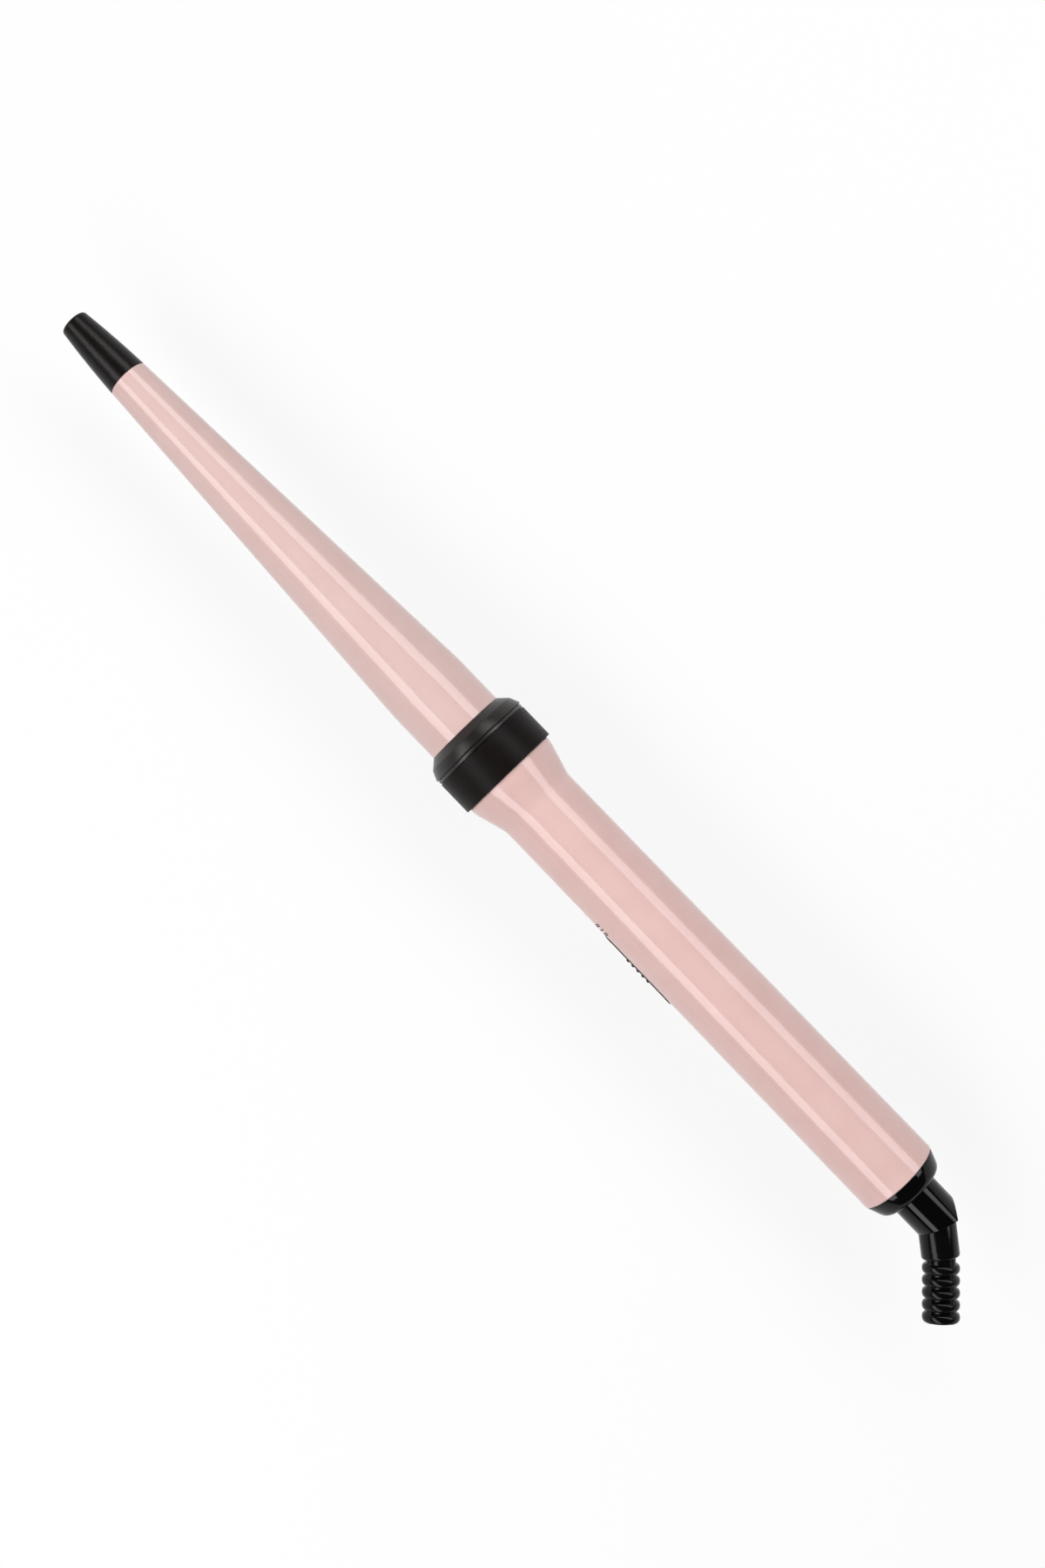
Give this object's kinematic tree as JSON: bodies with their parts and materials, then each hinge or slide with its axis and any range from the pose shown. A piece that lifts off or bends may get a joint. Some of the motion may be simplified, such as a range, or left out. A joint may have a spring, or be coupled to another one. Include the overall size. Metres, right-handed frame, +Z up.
{
  "type": "curling wand",
  "caption": "Conical curling wand: coated tapered barrel with a cool tip, bevelled collar, round handle with a thumb slide switch, and a cord outlet that swivels in the end cap.",
  "frame": {"origin": "on the wand's axis, where the barrel's coated root ends at the nose ring, which a ring pushed over the barrel stops at", "axes": "+X along the wand from cool tip to cord, +Z up, the cord boot bent towards -Y"},
  "size_m": [0.3826, 0.0397, 0.033],
  "materials": {
    "pink_coat": "glossy ceramic coat on aluminium",
    "pink_plastic": "glossy painted moulding",
    "satin_nylon": "satin heat-proof nylon",
    "matt_black": "matt moulding",
    "gloss_black": "glossy moulding",
    "trim_grey": "satin moulding",
    "boot_vinyl": "glossy soft vinyl",
    "red_lens": "clear tinted moulding",
    "bare_aluminium": "machined",
    "spring_steel": "drawn wire",
    "zinc_steel": "zinc plated",
    "brass": "stamped",
    "heater_ceramic": "sintered ceramic",
    "white_ceramic": "steatite",
    "polyimide_film": "film",
    "glass_bead_brown": "glass bead",
    "white_lead": "silicone sleeve",
    "brown_lead": "silicone sleeve",
    "blue_lead": "silicone sleeve",
    "dark_resin": "filled resin",
    "natural_plastic": "moulded",
    "board_green": "glass laminate",
    "capacitor_ochre": "dipped film"
  },
  "bodies": {
    "wand": {"cool_tip": "satin_nylon", "tip_clip": "spring_steel", "barrel": "pink_coat", "heater_shoe_upper": "bare_aluminium", "heater_shoe_lower": "bare_aluminium", "ptc_tablets": "heater_ceramic", "electrode_upper": "brass", "electrode_lower": "brass", "heater_film": "polyimide_film", "heater_spring": "spring_steel", "heater_spacer": "white_ceramic", "thermistor": "glass_bead_brown", "thermistor_lead": "white_lead", "thermal_fuse": "bare_aluminium", "heater_lead_live": "white_lead", "heater_lead_neutral": "white_lead", "barrel_socket": "dark_resin", "barrel_screws": "zinc_steel", "socket_screws": "zinc_steel", "nose_ring": "satin_nylon", "trim_ring": "trim_grey", "collar_band": "matt_black", "handle_shell": "pink_plastic", "chassis": "natural_plastic", "control_board": "board_green", "board_screws": "zinc_steel", "film_capacitor": "capacitor_ochre", "triac": "dark_resin", "control_chip": "dark_resin", "switch_case": "dark_resin", "switch_plate": "gloss_black", "indicator_led": "natural_plastic", "indicator_lens": "red_lens", "rear_plug": "dark_resin", "plug_screws": "zinc_steel", "contact_front": "brass", "contact_rear": "brass", "mains_lead_live": "brown_lead", "mains_lead_neutral": "blue_lead", "end_cap": "gloss_black"},
    "switch": {"switch_slider": "matt_black", "switch_lever": "natural_plastic"},
    "cord_swivel": {"swivel_stem": "gloss_black", "slip_ring_front": "brass", "slip_ring_rear": "brass", "strain_relief": "boot_vinyl"}
  },
  "joints": [
    {"name": "switch_slide", "type": "slide", "parent": "wand", "child": "switch", "axis": [1, 0, 0], "range_m": [-0.0022, 0.0022]},
    {"name": "cord_turn", "type": "hinge", "parent": "wand", "child": "cord_swivel", "pos_m": [0.1845, 0, 0], "axis": [1, 0, 0], "continuous": true}
  ]
}
